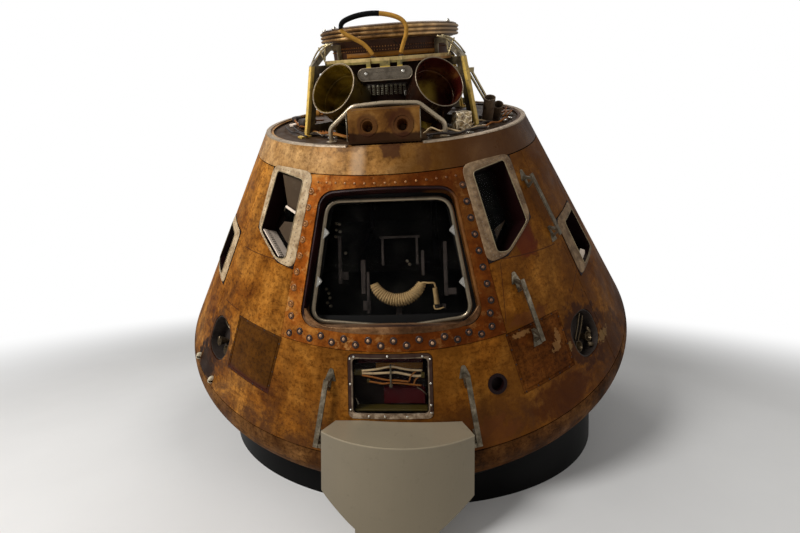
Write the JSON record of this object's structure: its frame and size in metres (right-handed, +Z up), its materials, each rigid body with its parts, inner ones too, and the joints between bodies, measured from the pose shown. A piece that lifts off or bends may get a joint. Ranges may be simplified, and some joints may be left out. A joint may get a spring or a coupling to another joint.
{
  "type": "space capsule",
  "caption": "Conical crew space capsule tilted on a round plinth, with a side hatch, windows, an open forward compartment and a docking tunnel.",
  "frame": {"origin": "on the floor, at the middle of the plinth's foot", "axes": "+Z up; -Y towards the side of the capsule with the hatch; the capsule's own axis leans 30 degrees towards -Y"},
  "size_m": [3.9045, 3.6864, 3.2769],
  "materials": {
    "heat_shield": null,
    "charred_skin": null,
    "copper_surround": null,
    "dark_reveal": null,
    "window_border": null,
    "pane": null,
    "bright_metal": null,
    "bay_lining": null,
    "wiring": null,
    "cabin_paint": null,
    "couch_cloth": null,
    "ivory_hose": null,
    "deck_metal": null,
    "copper_ring": null,
    "yellow_metal": null,
    "can_metal": null,
    "pull_metal": null,
    "foil": null,
    "loop_cable": null,
    "plinth_black": null,
    "pad_rubber": null,
    "stainless": null
  },
  "bodies": {
    "capsule_on_plinth": {"access_panel_left": "charred_skin", "access_panel_right": "charred_skin", "aft_heat_shield": "heat_shield", "bay_cover": "pane", "bay_frame": "bright_metal", "bay_harness": "wiring", "bay_tray": "bay_lining", "cabin_floor": "cabin_paint", "cabin_seat": "cabin_paint", "cabin_wall": "cabin_paint", "canisters": "can_metal", "couches": "couch_cloth", "deck_rail": "bright_metal", "deck_rim": "bright_metal", "docking_ring": "copper_ring", "fore_window_frames": "window_border", "fore_window_panes": "pane", "fore_window_reveals": "dark_reveal", "forward_deck": "deck_metal", "front_housing": "stainless", "front_shelf": "yellow_metal", "gussets": "yellow_metal", "hatch_hose": "ivory_hose", "hatch_pane": "pane", "hatch_reveal": "dark_reveal", "hatch_seal_frame": "bright_metal", "hatch_surround": "copper_surround", "instrument_panel": "cabin_paint", "loop_stubs": "pull_metal", "lower_handrails": "bright_metal", "plinth_base": "plinth_black", "plinth_drum": "plinth_black", "plinth_pad": "pad_rubber", "plug_row": "bay_lining", "pull_plate": "pull_metal", "recovery_loop": "loop_cable", "release_pegs": "charred_skin", "side_struts": "bay_lining", "side_window_frames": "window_border", "side_window_panes": "pane", "side_window_reveals": "dark_reveal", "skin_crown": "charred_skin", "skin_front": "charred_skin", "skin_left": "charred_skin", "skin_rear": "charred_skin", "skin_right": "charred_skin", "small_canisters": "bay_lining", "thruster_block": "copper_ring", "thruster_nozzles": "bright_metal", "thruster_wells": "dark_reveal", "tie_plate": "plinth_black", "tunnel": "cabin_paint", "upper_handrails": "bright_metal", "vent": "bright_metal", "wrapped_block": "foil"},
    "tunnel_lid": {"tunnel_lid": "cabin_paint"}
  },
  "joints": [
    {"name": "tunnel_lid_slide", "type": "slide", "parent": "capsule_on_plinth", "child": "tunnel_lid", "axis": [0.0618, 0.503, -0.8621], "range_m": [0, 0.42]}
  ]
}
